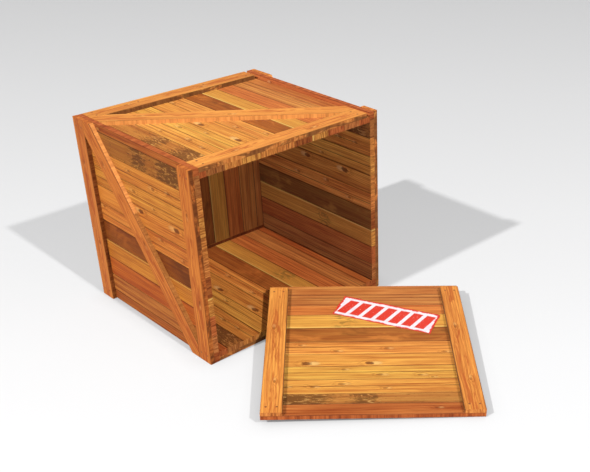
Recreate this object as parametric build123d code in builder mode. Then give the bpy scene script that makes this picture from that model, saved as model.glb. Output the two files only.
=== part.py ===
from build123d import *
from math import atan, atan2, cos, radians, sin
import os

os.makedirs("parts", exist_ok=True)

# A nailed wooden shipping crate standing on the floor with its front panel taken off.
# The crate's own panels are alike: boards laid side by side, two battens across their
# ends on the outside, and a diagonal brace between the battens. The back panel and the
# loose front panel (the lid) have battens only.
# +X is to the right seen from the open front, +Y goes in through the opening to the back,
# +Z is up. The origin is on the floor under the middle of the crate.

# Overall sizes of the closed box, in millimetres
crate_width = 788.0
crate_depth = 700.0
crate_height = 700.0

# Timber stock: the lid is made of thinner stock than the crate
board_thickness = 20.0
batten_thickness = 16.0
batten_width = 68.0
lid_board_thickness = 16.0
lid_batten_thickness = 14.0
eased_edge = 1.2
drying_gap = 1.0
wall = board_thickness + batten_thickness
lid_wall = lid_board_thickness + lid_batten_thickness

# Face widths of the boards in each panel, in the order they are laid
side_boards = (25, 70, 69, 71, 70, 69, 76, 71, 74, 66, 39)
top_boards = (26, 70, 69, 71, 70, 70, 76, 71, 74, 66, 53)
floor_boards = (36, 66, 72, 69, 72, 70, 78, 74, 74, 72, 33)
lid_boards = (57, 52, 76, 72, 70, 74, 87, 85, 64, 72, 63)

# The boards of the top, floor and back fill the space between the two sides; their
# battens start at the left side and stop a little short of the right side
inside_x = crate_width / 2 - wall
inside_width = 2 * inside_x
cross_batten_length = inside_width - 14.0
bottom_strip = 13.0
back_board_length = crate_height - 2 * wall - bottom_strip - drying_gap

# The lid lies on the floor in front, turned, with one corner up on the crate's floor.
# Its battens stop short of its far edge.
lid_board_length = 700.0
lid_batten_length = 742.0
lid_turn = -41.0
lid_clear = 0.3
lid_corner_x = 44.9
lid_corner_y = -1192.1

# Paper label on the lid
label_length = 370.0
label_width = 134.0
label_thickness = 0.4
label_turn = -22.0
label_centre = (422.0, 571.0)

# Nails: flat round heads, straight shanks, short points
shank_radius = 1.5
head_radius = 3.5
head_thickness = 1.0
point_length = 5.0
short_nail = 32.0
lid_nail = 26.0
long_nail = 60.0
end_nail_inset = 29.0
end_nail_spread = 17.0
batten_end_margin = 12.0
head_proud = 0.5
head_sunk = -0.3


def save(part, name):
    part.label = name
    export_step(part, f"parts/{name}.step")


def board_starts(widths):
    """Distance from the first edge of a panel to the first edge of each of its boards."""
    return [sum(widths[:i]) for i in range(len(widths))]


def make_boards(plane, length, widths, starts, thickness=board_thickness):
    """Boards along the plane's x, laid side by side along its y, with their edges eased."""
    with BuildPart() as boards:
        for start, width in zip(starts, widths):
            with BuildSketch(plane):
                with Locations((length / 2, start + width / 2)):
                    Rectangle(length, width - drying_gap)
            extrude(amount=thickness)
        long_edges = boards.edges().filter_by(Axis(plane.origin, plane.x_dir))
        chamfer(long_edges, eased_edge)
    return boards.part


def make_batten(plane, along, length, lift=board_thickness, thickness=batten_thickness):
    """One batten lying on the boards, running along the plane's y from its first edge."""
    with BuildPart() as batten:
        with BuildSketch(plane.offset(lift)):
            with Locations((along, length / 2)):
                Rectangle(batten_width, length)
        extrude(amount=thickness)
        outer = batten.faces().sort_by(Axis(plane.origin, plane.z_dir))[-1]
        chamfer(outer.edges().filter_by(Axis(plane.origin, plane.y_dir)), eased_edge)
    return batten.part


def make_brace(plane, length, width, rising):
    """Diagonal brace between the battens, cut to fit the two corners it runs into."""
    near = batten_width
    far = length - batten_width
    lean = atan2(width, far - near)
    half = batten_width / 2
    along = half / sin(lean)
    across = half / cos(lean)
    outline = [
        (near, 0),
        (near + along, 0),
        (far, width - across),
        (far, width),
        (far - along, width),
        (near, across),
    ]
    if not rising:
        outline = [(length - x, y) for x, y in outline]
    with BuildPart() as brace:
        with BuildSketch(plane.offset(board_thickness)):
            with BuildLine():
                Polyline(outline, close=True)
            make_face()
        extrude(amount=batten_thickness)
        outer = brace.faces().sort_by(Axis(plane.origin, plane.z_dir))[-1]
        long_edges = outer.edges().sort_by(SortBy.LENGTH)[-2:]
        chamfer(long_edges, eased_edge)
    return brace.part


def nail_rows(plane, sets):
    """Nails in one panel: each set is (points, height of the surface, way in, length, proud)."""
    with BuildPart() as nails:
        for points, surface, way, length, proud in sets:
            top = surface - way * proud
            with BuildSketch(plane.offset(top)):
                with Locations(*points):
                    Circle(head_radius)
            extrude(amount=way * head_thickness)
            with BuildSketch(plane.offset(top)):
                with Locations(*points):
                    Circle(shank_radius)
            extrude(amount=way * (length - point_length))
            with BuildSketch(plane.offset(top + way * (length - point_length))):
                with Locations(*points):
                    Circle(shank_radius)
            extrude(amount=way * point_length, taper=14)
    return nails.part


def batten_end_points(length, width):
    """Two nails side by side at both ends of both battens."""
    points = []
    for centre in (batten_width / 2, length - batten_width / 2):
        for end in (end_nail_inset, width - end_nail_inset):
            points.append((centre - end_nail_spread, end))
            points.append((centre + end_nail_spread, end))
    return points


def board_points(length, widths, starts, batten_length):
    """One nail through each board into each batten."""
    points = []
    for start, width in zip(starts, widths):
        middle = min(start + width / 2, batten_length - batten_end_margin)
        points.append((batten_width / 2, middle))
        points.append((length - batten_width / 2, middle))
    return points


def brace_points(length, width, widths, starts, rising):
    """One nail through each board into the brace where it crosses that board."""
    points = []
    for start, board in zip(starts[1:-1], widths[1:-1]):
        middle = start + board / 2
        along = batten_width + (length - 2 * batten_width) * middle / width
        if not rising:
            along = length - along
        points.append((along, middle))
    return points


# Panel planes: x runs along the boards, y across them in the order they are laid, z outward.
# Each plane lies on the inside face of its panel.
left_plane = Plane(
    origin=(-inside_x, -crate_depth / 2, crate_height), x_dir=(0, 1, 0), z_dir=(-1, 0, 0)
)
right_plane = Plane(
    origin=(inside_x, crate_depth / 2, crate_height), x_dir=(0, -1, 0), z_dir=(1, 0, 0)
)
top_plane = Plane(
    origin=(-inside_x, crate_depth / 2, crate_height - wall), x_dir=(0, -1, 0), z_dir=(0, 0, 1)
)
bottom_plane = Plane(
    origin=(-inside_x, -crate_depth / 2, wall), x_dir=(0, 1, 0), z_dir=(0, 0, -1)
)
back_plane = Plane(
    origin=(-inside_x, crate_depth / 2 - wall, wall), x_dir=(0, 0, 1), z_dir=(0, 1, 0)
)

# The lid's plane slopes up from its lowest corner on the floor to the top edge of the
# crate's floor at the opening, and is turned about the vertical.
sill_run = -crate_depth / 2 - lid_corner_y
lid_tilt = atan(wall / sill_run)
turn = radians(lid_turn)
lid_x = Vector(cos(turn), sin(turn) * cos(lid_tilt), sin(turn) * sin(lid_tilt))
lid_z = Vector(0, -sin(lid_tilt), cos(lid_tilt))
lid_corner = Vector(lid_corner_x, lid_corner_y, lid_clear)
lid_plane = Plane(origin=lid_corner - lid_x * lid_board_length, x_dir=lid_x, z_dir=lid_z)

side_starts = board_starts(side_boards)
top_starts = board_starts(top_boards)
floor_starts = board_starts(floor_boards)
lid_starts = board_starts(lid_boards)

# Left side: every board by itself, from the top down
for i, (start, width) in enumerate(zip(side_starts, side_boards)):
    board = make_boards(left_plane, crate_depth, [width], [start])
    save(board, f"left_side_board_{i + 1:02d}")

# Top: every board by itself, from left to right
for i, (start, width) in enumerate(zip(top_starts, top_boards)):
    board = make_boards(top_plane, crate_depth, [width], [start])
    save(board, f"top_board_{i + 1:02d}")

# Lid: every board by itself, from the edge nearest the front to the far edge
for i, (start, width) in enumerate(zip(lid_starts, lid_boards)):
    board = make_boards(lid_plane, lid_board_length, [width], [start], lid_board_thickness)
    save(board, f"lid_board_{i + 1:02d}")

# Right side, floor and back: the boards of each panel as one set of separate solids
save(make_boards(right_plane, crate_depth, side_boards, side_starts), "right_side_boards")
save(make_boards(bottom_plane, crate_depth, floor_boards, floor_starts), "floor_boards")
back_boards_plane = Plane(
    origin=back_plane.origin + Vector(0, 0, bottom_strip + drying_gap),
    x_dir=back_plane.x_dir,
    z_dir=back_plane.z_dir,
)
back_boards = make_boards(back_boards_plane, back_board_length, floor_boards, floor_starts)
save(back_boards, "back_boards")

# A narrow strip closes the bottom of the back, under the ends of its upright boards
with BuildPart() as back_strip:
    with BuildSketch(back_plane):
        with Locations((bottom_strip / 2, inside_width / 2)):
            Rectangle(bottom_strip, inside_width - drying_gap)
    extrude(amount=board_thickness)
    strip_edges = back_strip.edges().filter_by(Axis.X)
    chamfer(strip_edges, eased_edge)
save(back_strip.part, "back_bottom_strip")

# Battens
first = batten_width / 2
last = crate_depth - batten_width / 2
back_height = crate_height - 2 * wall
cross = cross_batten_length
save(make_batten(left_plane, first, crate_height), "left_front_batten")
save(make_batten(left_plane, last, crate_height), "left_rear_batten")
save(make_batten(right_plane, last, crate_height), "right_front_batten")
save(make_batten(right_plane, first, crate_height), "right_rear_batten")
save(make_batten(top_plane, last, cross), "top_front_batten")
save(make_batten(top_plane, first, cross), "top_rear_batten")
save(make_batten(bottom_plane, first, cross), "floor_front_batten")
save(make_batten(bottom_plane, last, cross), "floor_rear_batten")
save(make_batten(back_plane, first, cross), "back_lower_batten")
save(make_batten(back_plane, back_height - first, cross), "back_upper_batten")
for along, side in ((first, "left"), (lid_board_length - first, "right")):
    batten = make_batten(
        lid_plane, along, lid_batten_length, lid_board_thickness, lid_batten_thickness
    )
    save(batten, f"lid_{side}_batten")

# Diagonal braces
save(make_brace(left_plane, crate_depth, crate_height, rising=False), "left_brace")
save(make_brace(right_plane, crate_depth, crate_height, rising=True), "right_brace")
save(make_brace(top_plane, crate_depth, cross, rising=True), "top_brace")
save(make_brace(bottom_plane, crate_depth, cross, rising=False), "floor_brace")

# Paper label glued across the lid's boards
with BuildPart() as lid_label:
    with BuildSketch(lid_plane.offset(lid_board_thickness)):
        with Locations(Location((label_centre[0], label_centre[1], 0), label_turn)):
            Rectangle(label_length, label_width)
    extrude(amount=label_thickness)
save(lid_label.part, "lid_label")

# Nails. Board nails go in from the inside face of the boards and stop in the batten or
# brace. Batten-end nails go in from outside: on the two sides they are long and run on
# into the edges of the top and floor, and a few more run into the edges of the back.
back_line = wall - board_thickness / 2
back_pins_side = [
    (crate_depth - back_line, crate_height * 0.3),
    (crate_depth - back_line, crate_height * 0.7),
]
back_pins_side_right = [(crate_depth - x, y) for x, y in back_pins_side]
back_pins_top = [(back_line, cross * 0.3), (back_line, cross * 0.7)]
back_pins_floor = [(crate_depth - x, y) for x, y in back_pins_top]


def side_nails(plane, rising, back_pins):
    inner = board_points(crate_depth, side_boards, side_starts, crate_height)
    inner += brace_points(crate_depth, crate_height, side_boards, side_starts, rising)
    outer = batten_end_points(crate_depth, crate_height) + back_pins
    return nail_rows(
        plane, [(inner, 0, 1, short_nail, head_sunk), (outer, wall, -1, long_nail, head_proud)]
    )


def cross_nails(plane, widths, starts, rising, back_pins, proud):
    inner = board_points(crate_depth, widths, starts, cross)
    inner += brace_points(crate_depth, cross, widths, starts, rising)
    outer = batten_end_points(crate_depth, cross)
    return nail_rows(
        plane,
        [
            (inner, 0, 1, short_nail, head_sunk),
            (outer, wall, -1, short_nail, proud),
            (back_pins, wall, -1, long_nail, proud),
        ],
    )


save(side_nails(left_plane, False, back_pins_side), "left_side_nails")
save(side_nails(right_plane, True, back_pins_side_right), "right_side_nails")
top_nails = cross_nails(top_plane, top_boards, top_starts, True, back_pins_top, head_proud)
save(top_nails, "top_nails")
floor_nails = cross_nails(
    bottom_plane, floor_boards, floor_starts, False, back_pins_floor, head_sunk
)
save(floor_nails, "floor_nails")

back_inner = board_points(back_height, floor_boards, floor_starts, cross)
back_outer = batten_end_points(back_height, cross)
back_sets = [
    (back_inner, 0, 1, short_nail, head_sunk),
    (back_outer, wall, -1, short_nail, head_proud),
]
save(nail_rows(back_plane, back_sets), "back_nails")

lid_inner = board_points(lid_board_length, lid_boards, lid_starts, lid_batten_length)
lid_outer = batten_end_points(lid_board_length, lid_batten_length)
lid_sets = [
    (lid_inner, 0, 1, lid_nail, head_sunk),
    (lid_outer, lid_wall, -1, lid_nail, head_proud),
]
save(nail_rows(lid_plane, lid_sets), "lid_nails")
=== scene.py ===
import math
import random
from typing import NamedTuple

import bpy
from mathutils import Matrix, Vector, noise


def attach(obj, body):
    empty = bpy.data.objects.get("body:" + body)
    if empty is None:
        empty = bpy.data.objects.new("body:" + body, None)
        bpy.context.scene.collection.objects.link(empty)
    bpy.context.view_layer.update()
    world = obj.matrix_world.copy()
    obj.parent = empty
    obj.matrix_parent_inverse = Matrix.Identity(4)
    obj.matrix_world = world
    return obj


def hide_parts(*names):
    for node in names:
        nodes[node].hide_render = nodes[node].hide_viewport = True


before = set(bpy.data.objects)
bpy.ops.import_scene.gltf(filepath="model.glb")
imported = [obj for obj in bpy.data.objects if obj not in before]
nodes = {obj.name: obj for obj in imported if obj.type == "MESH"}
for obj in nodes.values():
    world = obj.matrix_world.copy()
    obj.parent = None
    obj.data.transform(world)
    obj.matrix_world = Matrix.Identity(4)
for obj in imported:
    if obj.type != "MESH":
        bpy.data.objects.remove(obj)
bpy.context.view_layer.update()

# Places on a piece of timber are measured in its own frame, in metres: u along it from its
# front end, v across it from its middle, w through it.

LIGHT_ON_TOP = 1.16  # light that falls on a level surface
BOUNCE_GREY = 0.7  # how far the light that bounces off the wood is greyed


# ---------------------------------------------------------------- shader building


def linear(red, green, blue, light=LIGHT_ON_TOP):
    """Surface colour that shows as this 0-255 colour under the given light."""
    shown = [c / 255 for c in (red, green, blue)]
    flat = [c / 12.92 if c < 0.04045 else ((c + 0.055) / 1.055) ** 2.4 for c in shown]
    return (*[min(c / light, 0.95) for c in flat], 1.0)


def tint(colour, red, green, blue):
    factors = (red, green, blue)
    return (*[min(c * f, 0.98) for c, f in zip(colour, factors)], 1.0)


def grey(level):
    return (level, level, level, 1.0)


class Graph:
    """Adds nodes to a shader tree. Every argument is a number, a tuple or an output socket."""

    def __init__(self, tree):
        self.tree = tree

    def put(self, kind, values=None, **settings):
        node = self.tree.nodes.new(kind)
        for name, value in settings.items():
            setattr(node, name, value)
        for key, value in (values or {}).items():
            self.feed(node.inputs[key], value)
        return node

    def feed(self, socket, value):
        if isinstance(value, bpy.types.NodeSocket):
            self.tree.links.new(value, socket)
        else:
            socket.default_value = value

    def math(self, operation, *values):
        node = self.put("ShaderNodeMath", operation=operation)
        for socket, value in zip(node.inputs, values):
            self.feed(socket, value)
        return node.outputs[0]

    def vector(self, operation, *values):
        node = self.put("ShaderNodeVectorMath", operation=operation)
        for socket, value in zip(node.inputs, values):
            self.feed(socket, value)
        return node.outputs["Value" if operation == "DOT_PRODUCT" else "Vector"]

    def step(self, value, low, high, start=0.0, end=1.0):
        """Smooth change from start to end as value goes from low to high."""
        node = self.put("ShaderNodeMapRange", interpolation_type="SMOOTHSTEP")
        for key, number in enumerate((value, low, high, start, end)):
            self.feed(node.inputs[key], number)
        return node.outputs[0]

    def near(self, value, middle, far, close):
        """1 within close of the middle, falling to 0 at far."""
        return self.step(self.math("ABSOLUTE", self.math("SUBTRACT", value, middle)), far, close)

    def mix(self, share, first, second, blend="MIX"):
        node = self.put("ShaderNodeMix", data_type="RGBA", blend_type=blend)
        self.feed(node.inputs[0], share)
        self.feed(node.inputs[6], first)
        self.feed(node.inputs[7], second)
        return node.outputs[2]

    def mix_shaders(self, share, first, second):
        return self.put("ShaderNodeMixShader", {0: share, 1: first, 2: second}).outputs[0]

    def noise(self, place, scale, detail=2.0, rough=0.5, bent=0.0):
        values = {
            "Vector": self.vector("MULTIPLY", place, scale),
            "Scale": 1.0,
            "Detail": detail,
            "Roughness": rough,
            "Distortion": bent,
        }
        return self.put("ShaderNodeTexNoise", values).outputs[0]

    def ramp(self, share, stops):
        node = self.put("ShaderNodeValToRGB", {"Fac": share})
        points = node.color_ramp.elements
        while len(points) < len(stops):
            points.new(0.5)
        for point, (where, colour) in zip(points, stops):
            point.position = where
            point.color = colour
        return node.outputs[0]

    def total(self, values):
        result = 0.0
        for value in values:
            result = self.math("ADD", result, value)
        return result

    def weighted(self, pairs):
        return self.total([self.math("MULTIPLY", value, weight) for value, weight in pairs])

    def is_camera_ray(self):
        return self.put("ShaderNodeLightPath").outputs["Is Camera Ray"]

    def show(self, shader, output="ShaderNodeOutputMaterial"):
        self.feed(self.put(output).inputs[0], shader)


def new_material(name):
    """An empty material and the graph of its nodes."""
    material = bpy.data.materials.new(name)
    material.use_nodes = True
    material.node_tree.nodes.clear()
    return material, Graph(material.node_tree)


def bumped_surface(g, strength, distance, height, settings):
    """The usual surface shader, with small relief."""
    bump = g.put("ShaderNodeBump", {"Strength": strength, "Distance": distance, "Height": height})
    settings["Normal"] = bump.outputs[0]
    g.show(g.put("ShaderNodeBsdfPrincipled", settings).outputs[0])


# ---------------------------------------------------------------- kinds of wood

RED = linear(204, 112, 52)
GREY_BROWN = linear(200, 129, 62)
AMBER = linear(236, 156, 70)
GOLD = linear(238, 168, 74)
ORANGE = linear(240, 155, 72)
DARK = linear(182, 103, 44)
RED_ORANGE = linear(218, 124, 60)
BROWN_ORANGE = linear(222, 141, 71)
BATTEN = linear(243, 158, 74)
BATTEN_RED = linear(188, 88, 40)
KNOT_HEART = linear(112, 56, 26)
KNOT_LIGHT = linear(255, 206, 128)
# Dirt and painted shade along the long edges of the wood and in its splits
GRIME_AND_SHADE = linear(70, 34, 16)
WEATHERED = linear(92, 56, 26)
WEATHERED_CURL = linear(232, 184, 112)
MOTTLE = linear(128, 98, 44)
# A painted highlight along one board edge
EDGE_HIGHLIGHT = linear(255, 216, 120)
# Dirt on sawn sides; on the lid's battens also painted shade along their sides
SIDE_DIRT_AND_SHADE_DEEP = linear(62, 32, 16)
SIDE_DIRT_AND_SHADE_PALE = linear(126, 74, 38)


class Look(NamedTuple):
    """How one kind of board looks."""

    colour: tuple
    contrast: float  # of the streaks
    rings: float  # growth lines per metre of width
    knots: tuple = ()  # each (u, v as a share of the half width, radius)
    grooves: tuple = ()  # v of each dark split, as a share of the half width
    marks: tuple = ()  # what else shows on it


# The boards of each panel carry these eleven looks in the order they are laid
BOARD_LOOKS = (
    Look(RED, 1.35, 150, knots=((0.55, 0.1, 0.005),)),
    Look(GREY_BROWN, 0.8, 130, marks=("weather",)),
    Look(
        AMBER, 1.3, 110, grooves=(0.03,),
        knots=((0.075, 0.0, 0.005), (0.160, -0.02, 0.006), (0.253, 0.35, 0.007), (0.394, -0.3, 0.005)),
    ),
    Look(
        GOLD, 1.25, 120, grooves=(0.08,),
        knots=((0.380, -0.35, 0.007), (0.512, -0.45, 0.006), (0.552, -0.8, 0.004), (0.262, 0.5, 0.005)),
    ),
    Look(AMBER, 1.2, 120, knots=((0.139, -0.5, 0.0105), (0.350, -0.52, 0.0095))),
    Look(
        ORANGE, 1.3, 130, grooves=(0.22,),
        knots=((0.118, 0.5, 0.005), (0.239, -0.5, 0.006), (0.410, -0.12, 0.006), (0.607, -0.75, 0.006)),
    ),
    Look(DARK, 1.0, 100, marks=("patches",)),
    # This board carries a painted highlight along its near edge
    Look(GOLD, 0.8, 130, marks=("mottle", "edge highlight")),
    Look(RED_ORANGE, 1.15, 110),
    Look(BROWN_ORANGE, 1.15, 120, grooves=(0.35,)),
    Look(RED, 1.15, 130),
)
BROWN_ORANGE_LOOK = 9
BATTEN_LOOK = Look(
    BATTEN, 0.75, 70, knots=((0.16, 0.15, 0.005), (0.47, -0.25, 0.006)), marks=("red heart",)
)


class Timber:
    """The node group of one kind of wood, painted layer by layer. In goes a place on a piece."""

    INPUTS = (
        ("Place", "NodeSocketVector"),
        ("Half", "NodeSocketFloat"),  # half the piece's width
        ("End", "NodeSocketFloat"),  # 1 on the end grain
        ("Side", "NodeSocketFloat"),  # 1 on the sawn long sides
        ("Own", "NodeSocketFloat"),  # a number of the piece's own
        ("Stained", "NodeSocketFloat"),  # how dirty the sawn sides are; its highest value also paints shade along the sides
        ("Tint", "NodeSocketColor"),
    )
    OUTPUTS = (
        ("Color", "NodeSocketColor"),
        ("Height", "NodeSocketFloat"),
        ("Roughness", "NodeSocketFloat"),
    )

    def __init__(self, name, look, seed):
        tree = bpy.data.node_groups.new(name, "ShaderNodeTree")
        for label, kind in self.INPUTS:
            tree.interface.new_socket(label, in_out="INPUT", socket_type=kind)
        for label, kind in self.OUTPUTS:
            tree.interface.new_socket(label, in_out="OUTPUT", socket_type=kind)
        self.look = look
        self.g = g = Graph(tree)
        self.given = given = g.put("NodeGroupInput").outputs
        self.results = g.put("NodeGroupOutput").inputs
        self.half = given["Half"]
        self.u, self.v, self.w = g.put("ShaderNodeSeparateXYZ", {0: given["Place"]}).outputs
        self.across = g.math("DIVIDE", self.v, self.half)
        drift = random.Random(seed)
        offset = g.put("ShaderNodeCombineXYZ", {
            0: g.math("MULTIPLY_ADD", given["Own"], 7.0, drift.uniform(0, 9)),
            1: drift.uniform(0, 9),
            2: drift.uniform(0, 9),
        })
        self.place = g.vector("ADD", given["Place"], offset.outputs[0])

    def noise(self, *settings):
        return self.g.noise(self.place, *settings)

    def tinted(self, red, green, blue):
        return tint(self.look.colour, red, green, blue)

    def lay(self, share, colour, blend="MIX"):
        """Covers what is painted so far with another colour."""
        self.colour = self.g.mix(share, self.colour, colour, blend)

    def find_knots(self):
        """Masks of how far knots bend the rings, their dark hearts and arcs, and light flanks."""
        g = self.g
        wobble = self.noise((75, 120, 120), 2.0, 0.6)
        bends, hearts, arcs, flanks = [], [], [], []
        for knot_u, knot_v, radius in self.look.knots:
            off_u = g.math("MULTIPLY", g.math("SUBTRACT", self.u, knot_u), 0.5)
            off_v = g.math("SUBTRACT", self.v, g.math("MULTIPLY", self.half, knot_v))
            square_u = g.math("MULTIPLY", off_u, off_u)
            away = g.math("ADD", square_u, g.math("MULTIPLY", off_v, off_v))
            bends.append(g.math("EXPONENT", g.math("MULTIPLY", away, -1 / (2.2 * radius) ** 2)))
            rough = g.math("MULTIPLY", away, g.math("MULTIPLY_ADD", wobble, 2.6, -0.3))
            strong = 1.0 if radius > 0.009 else 0.45
            hearts.append(g.step(rough, radius**2, (radius * 0.3) ** 2, 0.0, strong))
            turn = g.math("MULTIPLY", g.math("SQRT", g.math("MAXIMUM", rough, 0.0)), 2.6 / radius)
            ring = g.math("POWER", g.math("ABSOLUTE", g.math("SINE", turn)), 3.0)
            arcs.append(g.math("MULTIPLY", ring, g.step(away, (radius * 3.0) ** 2, radius**2)))
            beside = g.math("ADD", off_u, -1.15 * radius)
            beside = g.math("MULTIPLY", beside, beside)
            beside = g.math("MULTIPLY_ADD", off_v, off_v, beside)
            flanks.append(g.step(beside, (radius * 1.3) ** 2, (radius * 0.3) ** 2, 0.0, strong))
        self.bend, self.heart, self.arc, self.flank = map(g.total, (bends, hearts, arcs, flanks))

    def find_grain(self):
        """Growth rings as long thin lines bent aside by the knots, and streaks in four widths."""
        g = self.g
        self.wander = self.noise((2.2, 16, 16), 2.0)
        swing = g.math("MULTIPLY", self.wander, 5.0)
        rings = g.math("MULTIPLY_ADD", self.v, self.look.rings * 1.35, swing)
        rings = g.math("MULTIPLY_ADD", self.w, self.look.rings * 0.5, rings)
        rings = g.math("MULTIPLY_ADD", self.bend, 1.8, rings)
        wave = g.math("SINE", g.math("MULTIPLY", rings, math.tau / 2))
        self.growth = g.math("POWER", g.math("ABSOLUTE", wave), 5.0)
        self.streak = self.noise((2.0, 112, 112), 3.0, 0.6, 0.2)
        self.fine = self.noise((4.5, 270, 270), 2.0, 0.6, 0.1)
        self.fibre = self.noise((10, 430, 430), 2.0, 0.6)
        self.broad = self.noise((3.2, 20, 20), 2.0, 0.5, 0.3)

    def paint_grain(self):
        """Lighter yellow and darker red-brown streaks, with dark lines and pale fibres."""
        g, contrast = self.g, self.look.contrast
        blend = g.weighted((
            (self.streak, 0.36), (self.broad, 0.18), (self.fine, 0.34), (self.fibre, 0.12),
        ))
        stops = (
            (0.39, -0.42, -0.58, -0.60),
            (0.47, -0.12, -0.20, -0.22),
            (0.53, 0.10, 0.18, 0.14),
            (0.61, 0.24, 0.56, 0.62),
        )
        self.colour = g.ramp(blend, [
            (where, self.tinted(*[1 + change * contrast for change in changes]))
            for where, *changes in stops
        ])
        lines = g.math("MULTIPLY", self.growth, g.step(self.wander, 0.35, 0.65, 0.2, 0.62))
        self.lay(lines, self.tinted(0.50, 0.36, 0.32))
        self.lay(g.step(self.fine, 0.56, 0.64, 0.0, 0.6), self.tinted(0.56, 0.42, 0.36))
        self.lay(g.step(self.fibre, 0.42, 0.32, 0.0, 0.45), self.tinted(1.25, 1.5, 1.5))

    def paint_red_heart(self):
        g = self.g
        figure = self.noise((9, 62, 62), 3.0, 0.6, 1.2)
        centre = g.math("ADD", self.across, g.math("MULTIPLY_ADD", self.wander, 1.6, -0.8))
        inner = g.step(g.math("ABSOLUTE", centre), 0.75, 0.15, 0.12, 1.0)
        self.lay(g.math("MULTIPLY", inner, g.step(figure, 0.45, 0.58, 0.0, 0.7)), BATTEN_RED)

    def paint_patches(self):
        patch = self.noise((6.0, 11, 11), 3.0, 0.6, 0.6)
        self.lay(self.g.step(patch, 0.50, 0.36, 0.0, 0.6), self.tinted(0.42, 0.42, 0.42))
        self.lay(self.g.step(patch, 0.54, 0.68, 0.0, 0.6), self.tinted(1.7, 1.9, 1.9))

    def paint_knots(self):
        g = self.g
        self.lay(g.math("MULTIPLY", self.arc, 0.45), self.tinted(0.5, 0.36, 0.32))
        self.lay(g.math("MULTIPLY", self.flank, 0.6), KNOT_LIGHT)
        self.lay(g.math("MINIMUM", self.heart, 0.8), KNOT_HEART)

    def paint_weather(self):
        """Dark curling stains in two places along the board."""
        g = self.g
        stain = self.noise((24, 95, 95), 6.0, 0.72, 1.5)
        front, rear = g.near(self.u, 0.115, 0.15, 0.05), g.near(self.u, 0.325, 0.08, 0.01)
        where = g.math("MAXIMUM", front, g.math("MULTIPLY", rear, 0.85))
        pressed = g.math("MULTIPLY_ADD", where, 0.16, stain)
        self.lay(g.step(pressed, 0.55, 0.66, 0.0, 0.72), WEATHERED)
        self.lay(g.math("MULTIPLY", where, g.step(stain, 0.45, 0.38, 0.0, 0.7)), WEATHERED_CURL)

    def paint_mottle(self):
        g = self.g
        stain = self.noise((26, 60, 60), 4.0, 0.6, 0.8)
        where = g.near(self.u, 0.27, 0.06, 0.015)
        self.lay(g.math("MULTIPLY", where, g.step(stain, 0.45, 0.6, 0.0, 0.6)), MOTTLE)

    def paint_grooves(self):
        g = self.g
        self.groove = 0.0
        for groove_v in self.look.grooves:
            line_at = g.math("MULTIPLY_ADD", self.wander, 0.05, groove_v - 0.025)
            off = g.math("ABSOLUTE", g.math("SUBTRACT", self.across, line_at))
            line = g.step(g.math("MULTIPLY", off, self.half), 0.0018, 0.0004)
            line = g.math("MULTIPLY", line, g.step(self.broad, 0.35, 0.5, 0.3, 1.0))
            self.groove = g.math("MAXIMUM", self.groove, line)
        if self.look.grooves:
            # Dirt and painted shade darken the splits
            self.lay(g.math("MULTIPLY", self.groove, 0.75), GRIME_AND_SHADE)

    def paint_sawn_sides(self):
        """Saw marks run across the long sides, and dirt stains them in patches. On the lid's battens,
        where it is set highest, the dark patches are dirt and painted shade along the sides.
        """
        g = self.g
        self.saw = self.noise((95, 5, 5), 3.0, 0.7)
        sawn = g.ramp(self.saw, [
            (0.34, self.tinted(0.42, 0.28, 0.26)),
            (0.50, self.tinted(0.80, 0.66, 0.68)),
            (0.66, self.tinted(1.04, 1.08, 1.25)),
        ])
        patches = self.noise((9, 26, 26), 4.0, 0.65, 0.8)
        limit = g.math("MULTIPLY_ADD", self.given["Stained"], -0.42, 0.72)
        dirt_and_shade_share = g.step(patches, limit, g.math("ADD", limit, 0.10), 0.0, 0.80)
        sawn = g.mix(dirt_and_shade_share, sawn, g.mix(self.saw, SIDE_DIRT_AND_SHADE_DEEP, SIDE_DIRT_AND_SHADE_PALE))
        self.lay(g.math("MULTIPLY", self.given["Side"], 0.92), sawn)

    def paint_end_grain(self):
        """The board's own colour, with close lines through the thickness."""
        lines = self.noise((6, 150, 22), 3.0, 0.65, 0.4)
        self.lay(self.given["End"], self.g.ramp(lines, [
            (0.36, self.tinted(0.38, 0.26, 0.26)),
            (0.50, self.tinted(0.74, 0.61, 0.64)),
            (0.64, self.tinted(1.0, 1.0, 1.15)),
        ]))

    def paint_edge_dirt_and_shade(self):
        """Dirt and darkened varnish collect at the long edges of the face, deepened there by painted
        shade.
        """
        g = self.g
        turned = g.math("MAXIMUM", self.given["Side"], self.given["End"])
        self.face = g.math("SUBTRACT", 1.0, turned)
        from_edge = g.math("SUBTRACT", self.half, g.math("ABSOLUTE", self.v))
        ragged = g.math("MULTIPLY_ADD", self.streak, 0.003, from_edge)
        edge_dirt_and_shade = g.math("MULTIPLY", g.step(ragged, 0.0042, 0.0018), self.face)
        # Painted shade and dirt along the face's long edges
        self.lay(g.math("MULTIPLY", edge_dirt_and_shade, 0.65), GRIME_AND_SHADE)

    def paint_edge_highlight(self):
        g = self.g
        # Painted highlight: a pale line along the board's near edge
        off = g.math("ABSOLUTE", g.math("ADD", self.v, g.math("SUBTRACT", self.half, 0.0045)))
        self.lay(g.step(off, 0.003, 0.0008, 0.0, 0.7), EDGE_HIGHLIGHT)

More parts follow.
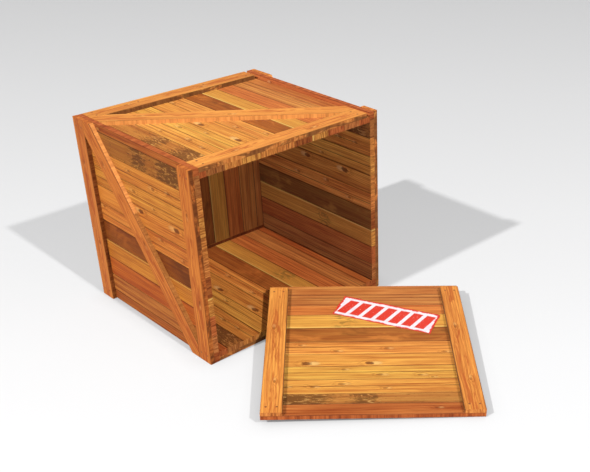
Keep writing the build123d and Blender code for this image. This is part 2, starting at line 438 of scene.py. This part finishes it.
    def paint_tone_and_light(self):
        """Each piece's own tone, then the tint of its panel, which on the left side is painted shade
        and on the floor, back and right side painted light. The tint of a panel misses freshly sawn
        sides.
        """
        g = self.g
        self.lay(1.0, g.math("MULTIPLY_ADD", self.given["Own"], 0.12, 0.94), "MULTIPLY")
        fresh = g.step(self.given["Stained"], 0.2, 0.1)
        fresh_side = g.math("MULTIPLY", self.given["Side"], fresh)
        self.lay(g.math("MULTIPLY", fresh_side, 0.35), self.tinted(1.15, 1.2, 1.5))
        is_batten = "red heart" in self.look.marks
        share = g.math("SUBTRACT", 1.0, fresh_side) if is_batten else self.face
        # The panel's tint: painted shade on the left side, painted light on the floor, back and right
        # side
        self.lay(share, self.given["Tint"], "MULTIPLY")

    def finish(self):
        g = self.g
        height = g.weighted((
            (self.growth, -0.25), (self.streak, 0.5), (self.fine, 0.35), (self.groove, -1.6),
            (self.heart, -0.5), (self.bend, 0.35),
            (g.math("MULTIPLY", self.saw, self.given["Side"]), 0.8),
        ))
        rough = g.math("MULTIPLY_ADD", self.streak, 0.25, 0.45)
        rough = g.math("MULTIPLY_ADD", self.given["End"], 0.2, rough)
        g.feed(self.results["Color"], self.colour)
        g.feed(self.results["Height"], height)
        g.feed(self.results["Roughness"], rough)
        return g.tree


def timber_group(name, look, seed):
    """Node group of one kind of wood."""
    wood = Timber(name, look, seed)
    wood.find_knots()
    wood.find_grain()
    wood.paint_grain()
    if "red heart" in look.marks:
        wood.paint_red_heart()
    if "patches" in look.marks:
        wood.paint_patches()
    wood.paint_knots()
    if "weather" in look.marks:
        wood.paint_weather()
    if "mottle" in look.marks:
        wood.paint_mottle()
    wood.paint_grooves()
    wood.paint_sawn_sides()
    wood.paint_end_grain()
    wood.paint_edge_dirt_and_shade()
    if "edge highlight" in look.marks:
        wood.paint_edge_highlight()
    wood.paint_tone_and_light()
    return wood.finish()


def place_in(graph, axes, origin):
    """Place in a piece's own frame, and how far the surface faces along and across it."""
    turn = Matrix(axes)
    source = graph.put("ShaderNodeTexCoord")
    place = graph.put("ShaderNodeMapping", {
        "Vector": source.outputs["Object"],
        "Location": -(turn @ origin),
        "Rotation": turn.to_euler(),
    })
    endward, sideward = [
        graph.math("ABSOLUTE", graph.vector("DOT_PRODUCT", source.outputs["Normal"], axis))
        for axis in axes[:2]
    ]
    return place.outputs[0], endward, sideward


def timber_material(name, group, axes, origin, half, side_dirt_and_shade):
    material, g = new_material(name)
    place, endward, sideward = place_in(g, axes, origin)
    wood = g.put("ShaderNodeGroup", node_tree=group)
    given = {
        "Place": place,
        "Half": half,
        "End": g.step(endward, 0.6, 0.8),
        "Side": g.step(sideward, 0.8, 0.95),
        "Own": own_numbers.random(),
        "Stained": side_dirt_and_shade,
        "Tint": (*tone_and_light_of(name), 1.0),
    }
    for label, value in given.items():
        g.feed(wood.inputs[label], value)
    # Light that bounces off the wood is nearly neutral, so that it doesn't redden the inside
    level = g.put("ShaderNodeRGBToBW", {0: wood.outputs["Color"]}).outputs[0]
    dull = g.mix(BOUNCE_GREY, wood.outputs["Color"], level)
    bumped_surface(g, 0.55, 0.0011, wood.outputs["Height"], {
        "Base Color": g.mix(g.is_camera_ray(), dull, wood.outputs["Color"]),
        "Roughness": wood.outputs["Roughness"],
        "Specular IOR Level": 0.18,
    })
    return material


# ---------------------------------------------------------------- pieces of timber in the CAD


def solids_of(obj):
    """Polygon indices of each separate solid in a mesh."""
    mesh = obj.data
    cells_per_metre = 2e4
    spots = {}
    weld = [
        spots.setdefault(tuple(round(c * cells_per_metre) for c in vertex.co), len(spots))
        for vertex in mesh.vertices
    ]
    parent = list(range(len(spots)))

    def root(i):
        while parent[i] != i:
            parent[i] = parent[parent[i]]
            i = parent[i]
        return i

    for polygon in mesh.polygons:
        first = root(weld[polygon.vertices[0]])
        for vertex in polygon.vertices[1:]:
            parent[root(weld[vertex])] = first
    groups = {}
    for polygon in mesh.polygons:
        groups.setdefault(root(weld[polygon.vertices[0]]), []).append(polygon.index)
    return list(groups.values())


def own_frame(obj, polygons, along_hint, across_hint):
    """Axes (along, across, through), front-end origin and half width of one straight piece."""
    mesh = obj.data
    directions = []
    for index in polygons:
        polygon = mesh.polygons[index]
        for entry in directions:
            if abs(entry[0].dot(polygon.normal)) > 0.9995:
                entry[1] += polygon.area
                break
        else:
            directions.append([polygon.normal.copy(), polygon.area])
    directions.sort(key=lambda entry: -entry[1])
    face = directions[0][0]
    side = next(d for d, _ in directions if abs(d.dot(face)) < 0.1)
    along = face.cross(side).normalized()
    if along.dot(Vector(along_hint)) < 0:
        along = -along
    if side.dot(Vector(across_hint)) < 0:
        side = -side
    through = along.cross(side)
    points = [mesh.vertices[i].co for index in polygons for i in mesh.polygons[index].vertices]
    spans = []
    for axis in (along, side, through):
        reach = [axis.dot(p) for p in points]
        spans.append((min(reach), max(reach)))
    middle = [(low + high) / 2 for low, high in spans]
    origin = along * spans[0][0] + side * middle[1] + through * middle[2]
    return (along, side, through), origin, (spans[1][1] - spans[1][0]) / 2, middle


# Rough directions along and across the pieces of each panel
X, Y, DOWN = (1, 0, 0), (0, 1, 0), (0, 0, -1)
LID_ALONG, LID_ACROSS = (0.76, -0.65, 0), (0.65, 0.76, 0)
BOARD_HINTS = {
    "left_side_board": (Y, DOWN),
    "top_board": (Y, X),
    "lid_board": (LID_ALONG, LID_ACROSS),
    "right_side_boards": (Y, DOWN),
    "floor_boards": (Y, X),
    "back_boards": (DOWN, X),
    "back_bottom_strip": (X, Y),
}
BATTEN_HINTS = {
    "left": (DOWN, Y),
    "right": (DOWN, Y),
    "top": (X, Y),
    "floor": (X, Y),
    "back": (X, DOWN),
    "lid": (LID_ACROSS, LID_ALONG),
}

# Colour factors of panels and boards. The left side's entries are painted shade, making it darker and
# redder;
# the floor's, back's and right side's entries are painted light, making them lighter. Within these
# panels some entries also set single boards' own tones. The top's and lid's entries set only such
# tones, and make the lid's boards a little lighter and bluer. The first entry that a material's name
# starts with holds.
TONES_AND_PAINTED_LIGHT = {
    # Painted shade: the left side's panel, darker and redder, with its boards' own tones
    "left_side_board_01": (0.76, 0.70, 0.55),
    "left_side_board_02": (0.80, 0.70, 0.48),
    "left_side_board_03": (0.79, 0.65, 0.52),
    "left_side_board_07": (0.56, 0.44, 0.26),
    "left_side_board_08": (0.75, 0.54, 0.39),
    "left_side_board_09": (0.73, 0.54, 0.35),
    "left_side_board_10": (0.75, 0.65, 0.51),
    "left_side_board_11": (0.81, 0.79, 0.64),
    "left_rear": (0.76, 0.61, 0.56),
    "left_": (0.85, 0.67, 0.55),
    "top_board_02": (1.13, 1.06, 0.88),
    "top_board_07": (1.0, 0.94, 0.78),
    "top_board_10": (1.06, 1.1, 1.07),
    "top_board_11": (1.10, 1.34, 1.40),
    "lid_board_01": (0.92, 0.92, 0.99),
    "lid_board_02": (1.02, 1.04, 1.02),
    "lid_board_09": (1.12, 1.18, 1.2),
    "lid_board_10": (0.91, 0.91, 0.99),
    "lid_board_11": (0.89, 0.85, 0.88),
    "lid_board": (1.05, 1.11, 1.16),
    # Painted light: the floor, the back and the right side, made lighter
    "floor_boards": (1.15, 1.0, 1.0),
    "back_bottom_strip": (2.0, 2.0, 2.0),
    "back_boards wood 11": (1.45, 1.85, 2.5),
    "back_boards": (1.28, 1.25, 1.4),
    "right_side_boards wood 07": (0.82, 1.03, 1.45),
    "right_side_boards": (1.08, 1.0, 1.28),
}
BOARD_DIRT = 0.2


def tone_and_light_of(name):
    return next((tone for start, tone in TONES_AND_PAINTED_LIGHT.items() if name.startswith(start)), (1.0, 1.0, 1.0))


def side_dirt_and_shade_of(name):
    """How dirty the sawn sides of a batten or brace are. On the lid's battens the value is highest,
    which also paints shade along their sides.
    """
    if name.endswith("_brace"):
        return 0.05
    if name == "left_rear_batten":
        return 0.3
    # The lid's battens get the most: dirt and painted shade along their sides
    return 1.0 if name.startswith("lid") else 0.75


def finish_boards(obj, first_look, hints):
    """Gives every board in the node its own material, in the order the boards are laid."""
    obj.data.materials.clear()
    boards = []
    for polygons in solids_of(obj):
        axes, origin, half, middle = own_frame(obj, polygons, *hints)
        boards.append((middle[1], polygons, axes, origin, half))
    boards.sort(key=lambda board: board[0])
    for slot, (_, polygons, axes, origin, half) in enumerate(boards):
        look = BROWN_ORANGE_LOOK if obj.name == "lid_board_11" else first_look + slot
        name = f"{obj.name} wood {slot + 1:02d}"
        material = timber_material(name, board_groups[look], axes, origin, half, BOARD_DIRT)
        obj.data.materials.append(material)
        for index in polygons:
            obj.data.polygons[index].material_index = slot


def finish_batten(obj, hints, side_dirt_and_shade):
    axes, origin, half, _ = own_frame(obj, range(len(obj.data.polygons)), *hints)
    obj.data.materials.clear()
    material = timber_material(f"{obj.name} wood", batten_group, axes, origin, half, side_dirt_and_shade)
    obj.data.materials.append(material)


def nail_material():
    """Steel gone brown, under the same varnish as the wood."""
    material, g = new_material("nail steel")
    place = g.put("ShaderNodeTexCoord").outputs["Object"]
    rust = g.noise(place, (420, 420, 420), 3.0, 0.6)
    bumped_surface(g, 0.4, 0.0003, rust, {
        "Base Color": g.ramp(rust, [(0.35, linear(128, 72, 38)), (0.62, linear(186, 108, 54))]),
        "Metallic": 0.15,
        "Roughness": g.step(rust, 0.35, 0.65, 0.38, 0.75),
    })
    return material


board_groups = [
    timber_group(f"board look {i + 1:02d}", look, seed=40 + i) for i, look in enumerate(BOARD_LOOKS)
]
batten_group = timber_group("batten look", BATTEN_LOOK, seed=77)
own_numbers = random.Random(5)
steel = nail_material()

for name, obj in nodes.items():
    stem = name.rsplit("_", 1)[0]
    if stem in BOARD_HINTS:
        finish_boards(obj, int(name[-2:]) - 1, BOARD_HINTS[stem])
    elif name in BOARD_HINTS:
        finish_boards(obj, 0, BOARD_HINTS[name])
    elif name.endswith(("_batten", "_brace")):
        finish_batten(obj, BATTEN_HINTS[name.split("_")[0]], side_dirt_and_shade_of(name))
    elif name.endswith("_nails"):
        obj.data.materials.clear()
        obj.data.materials.append(steel)


# ---------------------------------------------------------------- paper label

BAR_PITCH = 0.0487  # between the middles of the red bars
BAR_LEAN = -0.26
BARS_HALF_HEIGHT = 0.0450
BARS_HALF_LENGTH = 0.1660
LABEL_THICKNESS = 0.0004
TEAR_DEPTH = 0.0048


def label_material(axes, origin, half_length, half_width):
    """White paper with a rough red border round a row of leaning red bars."""
    material, g = new_material("label paper")
    place = place_in(g, axes, origin)[0]
    a, b, _ = g.put("ShaderNodeSeparateXYZ", {0: place}).outputs
    worn = g.noise(place, (160, 160, 160), 4.0, 0.65)
    coarse = g.noise(place, (45, 45, 45), 3.0, 0.6)

    to_end = g.math("SUBTRACT", half_length, g.math("ABSOLUTE", a))
    to_side = g.math("SUBTRACT", half_width, g.math("ABSOLUTE", b))
    inward = g.math("MINIMUM", to_end, to_side)
    rough_edge = g.math("MULTIPLY_ADD", coarse, 0.016, g.math("SUBTRACT", inward, 0.008))
    border = g.step(rough_edge, 0.0100, 0.0086)

    leaning = g.math("MULTIPLY_ADD", b, BAR_LEAN, a)
    # Half a pitch puts a bar in the middle, and ten more keep the distance positive
    from_gap = g.math("PINGPONG", g.math("ADD", leaning, 10.5 * BAR_PITCH), BAR_PITCH / 2)
    bar = g.step(g.math("MULTIPLY_ADD", coarse, 0.002, from_gap), 0.0077, 0.0089)
    in_height = g.step(g.math("ABSOLUTE", b), BARS_HALF_HEIGHT, BARS_HALF_HEIGHT - 0.0014)
    in_length = g.step(g.math("ABSOLUTE", leaning), BARS_HALF_LENGTH, BARS_HALF_LENGTH - 0.0015)
    bars = g.math("MULTIPLY", bar, g.math("MULTIPLY", in_height, in_length))

    ink = g.math("MULTIPLY", g.math("MAXIMUM", border, bars), g.step(worn, 0.30, 0.38))
    red = g.mix(worn, linear(222, 44, 30), linear(244, 72, 48))
    paper = g.mix(g.step(coarse, 0.3, 0.7), linear(244, 226, 232), linear(255, 246, 248))
    bumped_surface(g, 0.3, 0.0004, worn, {
        "Base Color": g.mix(ink, paper, red),
        "Roughness": g.math("MULTIPLY_ADD", ink, -0.2, 0.75),
    })
    return material


def tear(along_edge, edge):
    """How far the torn outline lies inside the sheet at a place along one of its edges."""
    fine = noise.noise(Vector((along_edge * 90, edge * 7.3, 0.5)))
    coarse = noise.noise(Vector((along_edge * 28, edge * 3.1, 4.5)))
    return TEAR_DEPTH * (0.5 + 0.45 * coarse + 0.35 * fine)


def label_mesh(centre, axes, half_length, half_width):
    along, across, through = axes
    columns, rows = 186, 74
    verts, faces = [], []
    for i in range(columns + 1):
        s = i / columns * 2 - 1
        for j in range(rows + 1):
            t = j / rows * 2 - 1
            a = s * half_length - s * abs(s) ** 3 * tear(t * half_width, 1 if s > 0 else 2)
            b = t * half_width - t * abs(t) ** 3 * tear(s * half_length, 3 if t > 0 else 4)
            rim = max(abs(s) ** 14, abs(t) ** 9)
            wave = noise.noise(Vector((a * 16, b * 16, 2.0)))
            lift = 0.0001 + 0.0005 * max(wave, 0) + 0.0011 * rim * max(0.2, 0.5 + wave)
            verts.append(centre + along * a + across * b + through * lift)
    for i in range(columns):
        for j in range(rows):
            k = i * (rows + 1) + j
            faces.append((k, k + rows + 1, k + rows + 2, k + 1))
    mesh = bpy.data.meshes.new("paper_label")
    mesh.from_pydata([tuple(v) for v in verts], [], faces)
    mesh.update()
    if mesh.polygons[0].normal.dot(through) < 0:
        mesh.flip_normals()
    for polygon in mesh.polygons:
        polygon.use_smooth = True
    return mesh


def make_label():
    """Paper with a torn outline, lying on the boards with its edges slightly lifted."""
    cad = nodes["lid_label"]
    axes, origin, half_width, _ = own_frame(
        cad, range(len(cad.data.polygons)), LID_ALONG, LID_ACROSS
    )
    along, across, through = axes
    if through.z < 0:
        through = -through
    points = [v.co for v in cad.data.vertices]
    half_length = (max(along.dot(p) for p in points) - min(along.dot(p) for p in points)) / 2
    top = max(through.dot(p) for p in points)
    centre = origin + along * half_length
    centre += through * (top - through.dot(centre))
    mesh = label_mesh(centre, (along, across, through), half_length, half_width)
    printed_axes = (along, across, along.cross(across))
    mesh.materials.append(label_material(printed_axes, centre, half_length, half_width))
    label = bpy.data.objects.new("paper_label", mesh)
    bpy.context.scene.collection.objects.link(label)
    paper = label.modifiers.new("paper thickness", "SOLIDIFY")
    paper.thickness = LABEL_THICKNESS
    paper.offset = -1.0
    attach(label, "lid")
    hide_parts("lid_label")
    return label


paper_label = make_label()


# ---------------------------------------------------------------- floor, light and camera

FLOOR_SIZE = 120.0
FLOOR_LEVEL = -0.0003  # just under the lowest corners, so that no faces coincide
FLOOR_LIT = 0.585  # what the lights add to the floor where no shadow falls
SHADOW_SIDE_GREY = 0.47
BOUNCING_FLOOR_GREY = 0.34


def backdrop_colour(graph):
    """Pale grey that gets lighter towards the bottom of the picture."""
    window = graph.put("ShaderNodeTexCoord").outputs["Window"]
    height = graph.put("ShaderNodeSeparateXYZ", {0: window}).outputs[1]
    levels = ((0.00, 1.00), (0.25, 0.95), (0.55, 0.84), (0.80, 0.72), (1.00, 0.61))
    return graph.ramp(height, [(where, grey(level)) for where, level in levels])


def floor_material():
    """The backdrop's own colour where lit, darker in shadow, and clear from underneath. Its glow is
    dimmed close to things on it, a painted contact shade.
    """
    material, g = new_material("studio floor")
    shadow_side = g.put("ShaderNodeBsdfDiffuse", {"Color": grey(SHADOW_SIDE_GREY)})
    glow_colour = g.mix(1.0, backdrop_colour(g), grey(FLOOR_LIT), "SUBTRACT")
    # Painted contact shade: ambient occlusion dims the floor's glow near the crate and lid
    near = g.put("ShaderNodeAmbientOcclusion", {"Distance": 0.08}, samples=8)
    painted_contact_shade = g.math("MULTIPLY_ADD", near.outputs["AO"], 0.6, 0.4)
    glow = g.put("ShaderNodeEmission", {"Color": glow_colour, "Strength": painted_contact_shade})
    seen = g.put("ShaderNodeAddShader", {0: shadow_side.outputs[0], 1: glow.outputs[0]})
    bounce = g.put("ShaderNodeBsdfDiffuse", {"Color": grey(BOUNCING_FLOOR_GREY)})
    above = g.mix_shaders(g.is_camera_ray(), bounce.outputs[0], seen.outputs[0])
    from_below = g.put("ShaderNodeNewGeometry").outputs["Backfacing"]
    clear = g.put("ShaderNodeBsdfTransparent")
    g.show(g.mix_shaders(from_below, above, clear.outputs[0]))
    return material


def make_floor():
    corners = [(-1, -1), (1, -1), (1, 1), (-1, 1)]
    verts = [(x * FLOOR_SIZE, y * FLOOR_SIZE, FLOOR_LEVEL) for x, y in corners]
    mesh = bpy.data.meshes.new("studio_floor")
    mesh.from_pydata(verts, [], [(0, 1, 2, 3)])
    mesh.materials.append(floor_material())
    floor = bpy.data.objects.new("studio_floor", mesh)
    bpy.context.scene.collection.objects.link(floor)


def make_world():
    world = bpy.data.worlds.new("studio")
    bpy.context.scene.world = world
    world.use_nodes = True
    world.node_tree.nodes.clear()
    g = Graph(world.node_tree)
    soft = (0.27, 0.27, 0.28, 1)
    colour = g.mix(g.is_camera_ray(), soft, backdrop_colour(g))
    background = g.put("ShaderNodeBackground", {"Color": colour})
    g.show(background.outputs[0], "ShaderNodeOutputWorld")


def make_sun(name, travel, strength, shadow=True):
    data = bpy.data.lights.new(name, "SUN")
    data.energy = strength
    data.use_shadow = shadow
    data.angle = math.radians(1.8)
    sun = bpy.data.objects.new(name, data)
    sun.rotation_mode = "QUATERNION"
    sun.rotation_quaternion = Vector(travel).to_track_quat("-Z", "Y")
    bpy.context.scene.collection.objects.link(sun)
    return sun


def group_of(name, objects, state):
    """A collection for light linking: its objects are the only ones, or the ones left out."""
    collection = bpy.data.collections.new(name)
    for obj in objects:
        collection.objects.link(obj)
    for link in collection.collection_objects:
        link.light_linking.link_state = state
    return collection


def make_lights():
    """Two hard lights and a fill. The crate shades the floor, but not the lid."""
    lid = [obj for name, obj in nodes.items() if name.startswith("lid_")] + [paper_label]
    back = [nodes["back_boards"], nodes["back_bottom_strip"]]
    from_left = (1.182, -0.05, -1.0)
    light = make_sun("front light", (0.0, 1.173, -1.0), 2.1)
    light.light_linking.receiver_collection = group_of("beside back", back, "EXCLUDE")
    light = make_sun("left light", from_left, 2.75)
    light.light_linking.receiver_collection = group_of("beside lid", lid, "EXCLUDE")
    light = make_sun("left light on lid", from_left, 2.75)
    light.light_linking.receiver_collection = group_of("lid", lid, "INCLUDE")
    light.light_linking.blocker_collection = light.light_linking.receiver_collection
    make_sun("left fill", (1.0, 0.3, -0.3), 0.32, shadow=False)


def shift_at(camera, axis, home_x, shift):
    """Shifts the camera's frame only while the camera stands at its home viewpoint."""
    curve = camera.data.driver_add(axis)
    curve.driver.type = "SUM"
    place = curve.driver.variables.new()
    place.targets[0].id = camera
    place.targets[0].data_path = "location[0]"
    for modifier in list(curve.modifiers):
        curve.modifiers.remove(modifier)
    steps = ((home_x - 0.0010, 0.0), (home_x - 0.0005, shift), (home_x + 0.0005, 0.0))
    curve.keyframe_points.add(len(steps))
    for point, step in zip(curve.keyframe_points, steps):
        point.co = step
        point.interpolation = "CONSTANT"


def make_camera():
    """The home viewpoint. Its frame sits off the optical axis, as in a cropped picture."""
    data = bpy.data.cameras.new("camera")
    data.sensor_width = 36.0
    data.lens = 58.17
    data.clip_end = 200.0
    camera = bpy.data.objects.new("camera", data)
    bpy.context.scene.collection.objects.link(camera)
    camera.location = (-1.843, -2.682, 1.793)
    camera.rotation_euler = [math.radians(a) for a in (58.735, 0.272, -44.293)]
    for axis, shift in (("shift_x", -0.1502), ("shift_y", 0.1468)):
        shift_at(camera, axis, camera.location.x, shift)
    bpy.context.scene.camera = camera


make_floor()
make_world()
make_lights()
make_camera()
bpy.context.scene.view_settings.view_transform = "Standard"
